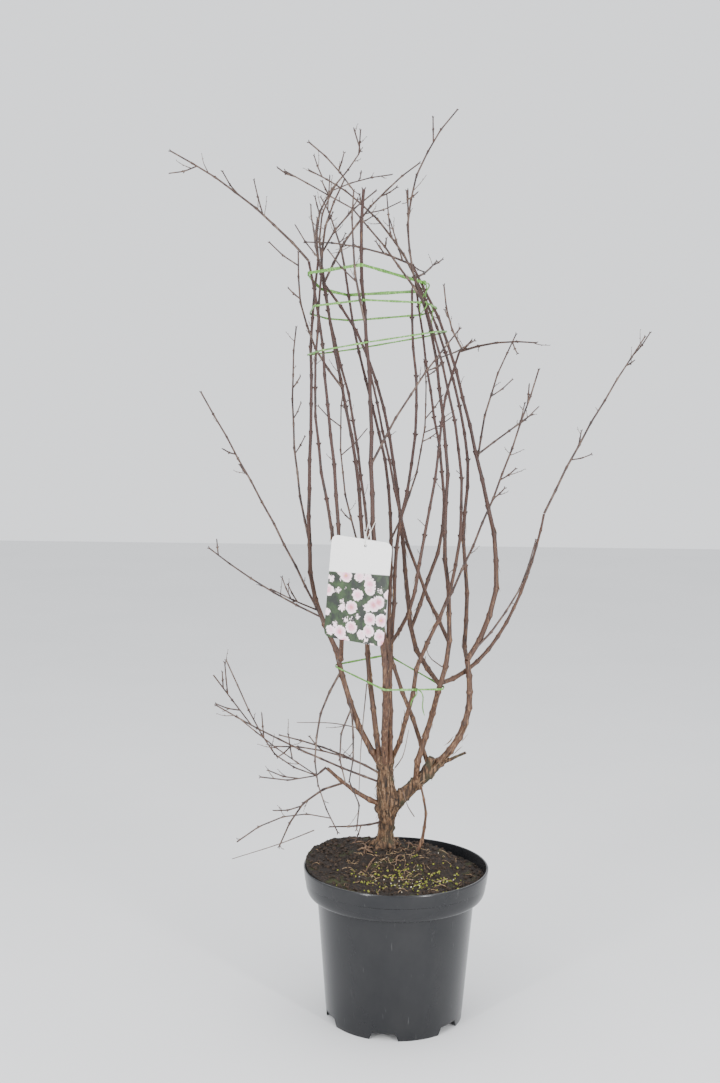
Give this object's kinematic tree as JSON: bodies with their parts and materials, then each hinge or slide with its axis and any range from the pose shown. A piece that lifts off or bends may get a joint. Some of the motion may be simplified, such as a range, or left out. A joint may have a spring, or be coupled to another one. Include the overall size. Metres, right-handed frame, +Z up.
{
  "type": "potted beautybush",
  "caption": "Leafless potted beautybush in winter: arching bare stems from one short gnarled trunk, tied together, with a hanging card label, in a dark round nursery pot.",
  "frame": {"origin": "middle of the pot's foot, on the plane that the pot stands on", "axes": "+Z up; -Y towards the viewer in front of the label; +X to that viewer's right"},
  "size_m": [0.7658, 0.4719, 1.4737],
  "materials": {
    "bark": "matte, peeling",
    "young_bark": "matte",
    "pot_plastic": "satin",
    "peat": "matte, fibrous",
    "green_tie": "satin",
    "label_card": "printed, satin",
    "white_string": "matte"
  },
  "bodies": {
    "root": {"bough_centre": "bark", "bough_column_back": "bark", "bough_column_left": "bark", "bough_column_outer": "bark", "bough_column_right": "bark", "bough_crossing": "bark", "bough_far_right": "bark", "bough_front": "bark", "bough_inner_left": "bark", "bough_left": "bark", "bough_left_front": "bark", "bough_left_inner": "bark", "bough_left_low": "bark", "bough_middle": "bark", "bough_middle_right": "bark", "bough_right_bow": "bark", "bough_right_inner": "bark", "bough_right_low": "bark", "bough_right_upright": "bark", "bough_sucker": "bark", "label": "label_card", "label_string": "white_string", "pot": "pot_plastic", "soil": "peat", "tie_low": "green_tie", "tie_neck": "green_tie", "tie_top": "green_tie", "tie_upper": "green_tie", "trunk": "bark", "twigs_back": "young_bark", "twigs_centre_hook": "young_bark", "twigs_far_left": "young_bark", "twigs_far_right": "young_bark", "twigs_front": "young_bark", "twigs_hanging": "young_bark", "twigs_left_across": "young_bark", "twigs_left_arch": "young_bark", "twigs_left_back": "young_bark", "twigs_left_curl": "young_bark", "twigs_left_front": "young_bark", "twigs_left_middle": "young_bark", "twigs_left_thin": "young_bark", "twigs_left_upright": "young_bark", "twigs_loop": "young_bark", "twigs_low_left": "young_bark", "twigs_low_left_droop": "young_bark", "twigs_low_left_tip": "young_bark", "twigs_low_left_upper": "young_bark", "twigs_rear_left": "young_bark", "twigs_rear_right": "young_bark", "twigs_right_across": "young_bark", "twigs_right_back": "young_bark", "twigs_right_fork": "young_bark", "twigs_right_front": "young_bark", "twigs_right_middle": "young_bark", "twigs_right_short": "young_bark", "twigs_right_sweep": "young_bark", "twigs_right_thin": "young_bark", "twigs_top": "young_bark", "twigs_trunk_foot": "young_bark"}
  },
  "joints": []
}
